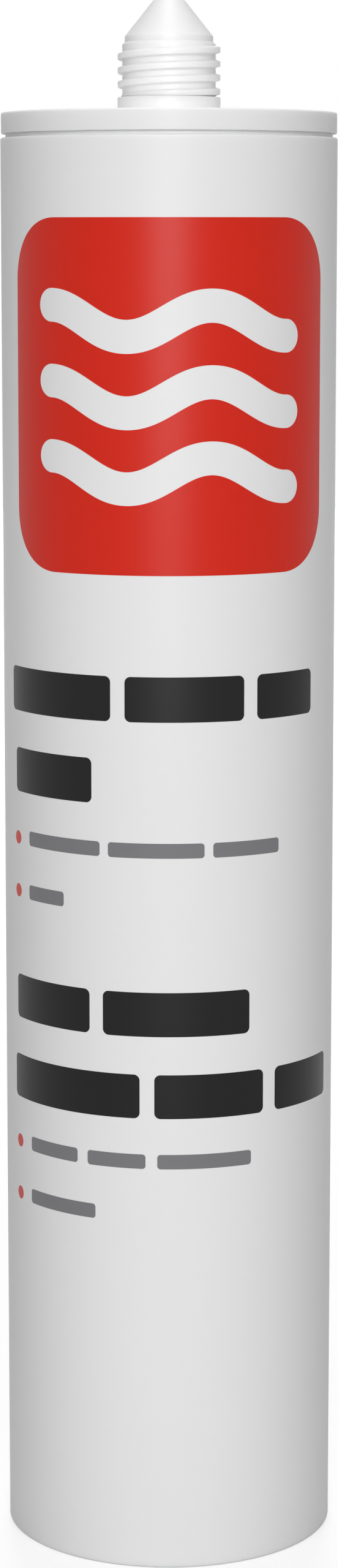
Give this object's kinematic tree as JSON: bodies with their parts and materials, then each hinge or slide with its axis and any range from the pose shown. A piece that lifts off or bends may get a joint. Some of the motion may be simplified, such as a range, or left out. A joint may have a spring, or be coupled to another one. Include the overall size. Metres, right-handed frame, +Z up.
{
  "type": "caulk tube",
  "caption": "Round sealant cartridge for a caulking gun: an open-backed tube with a piston, paste filling and a threaded nipple with a sealed cone tip.",
  "frame": {"origin": "middle of the open rear rim, which the tube stands on", "axes": "+Z up the tube's axis towards the nipple, -Y out of the printed front"},
  "size_m": [0.0496, 0.0496, 0.2313],
  "materials": {
    "tube_plastic": "satin white polyethylene, printed in red and dark grey on the front",
    "piston_plastic": "satin natural polyethylene",
    "sealant_paste": "smooth off-white paste"
  },
  "bodies": {
    "cartridge": {"cartridge": "tube_plastic", "sealant": "sealant_paste"},
    "piston": {"piston": "piston_plastic"}
  },
  "joints": [
    {"name": "piston_slide", "type": "slide", "parent": "cartridge", "child": "piston", "axis": [0, 0, 1], "range_m": [0, 0.1815], "deforming": ["sealant"]}
  ]
}
